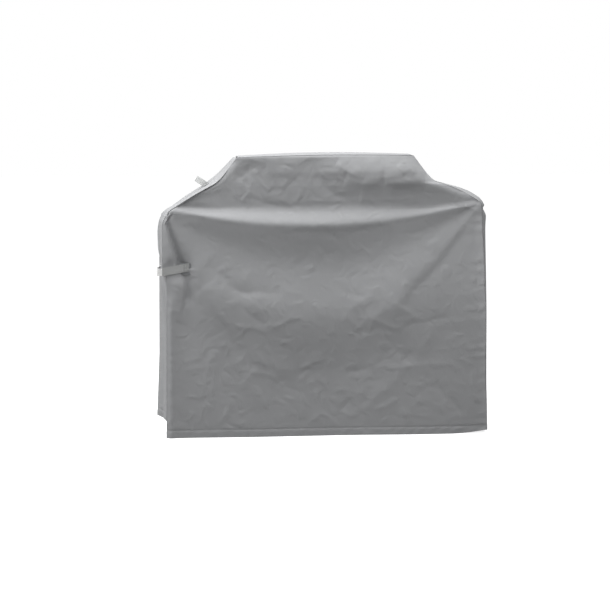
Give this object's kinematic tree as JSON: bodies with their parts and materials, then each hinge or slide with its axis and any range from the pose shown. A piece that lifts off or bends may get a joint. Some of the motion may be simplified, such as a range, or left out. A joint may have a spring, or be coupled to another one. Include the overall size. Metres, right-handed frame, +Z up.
{
  "type": "grill cover",
  "caption": "Draped fabric cover for a cart grill, open at the bottom, with a raised lid section, sloping shoulders, a webbing lifting handle and a corner closure strap.",
  "frame": {"origin": "on the ground, under the middle of the cover", "axes": "+X to the right of someone facing the front, +Y to the back, +Z up"},
  "size_m": [1.3786, 0.6953, 1.184],
  "materials": {
    "cover_fabric": "matt woven polyester, coated on the inside",
    "binding_tape": "woven binding tape and doubled cloth patches",
    "webbing": "flat woven webbing",
    "hook_tape": "white hook tape",
    "loop_tape": "brushed loop tape"
  },
  "bodies": {
    "cover": {"front_panel": "cover_fabric", "back_panel": "cover_fabric", "left_gusset": "cover_fabric", "top_gusset": "cover_fabric", "right_gusset": "cover_fabric", "front_hem": "cover_fabric", "back_hem": "cover_fabric", "left_hem": "cover_fabric", "right_hem": "cover_fabric", "front_seam_binding": "binding_tape", "back_seam_binding": "binding_tape", "left_cross_binding": "binding_tape", "right_cross_binding": "binding_tape", "handle_patches": "binding_tape", "strap_patch": "binding_tape", "handle_feet": "webbing", "strap_foot": "webbing", "strap_loop_tape": "loop_tape"},
    "handle": {"handle_loop": "webbing"},
    "strap": {"closure_strap": "webbing", "strap_hook_tape": "hook_tape"}
  },
  "joints": [
    {"name": "handle_swing", "type": "hinge", "parent": "cover", "child": "handle", "pos_m": [-0.48569, 0.04, 1.06412], "axis": [0, 1, 0], "range_deg": [-37, 115]},
    {"name": "strap_peel", "type": "hinge", "parent": "cover", "child": "strap", "pos_m": [-0.60475, -0.3071, 0.704], "axis": [0, 0, 1], "range_deg": [0, 110]}
  ]
}
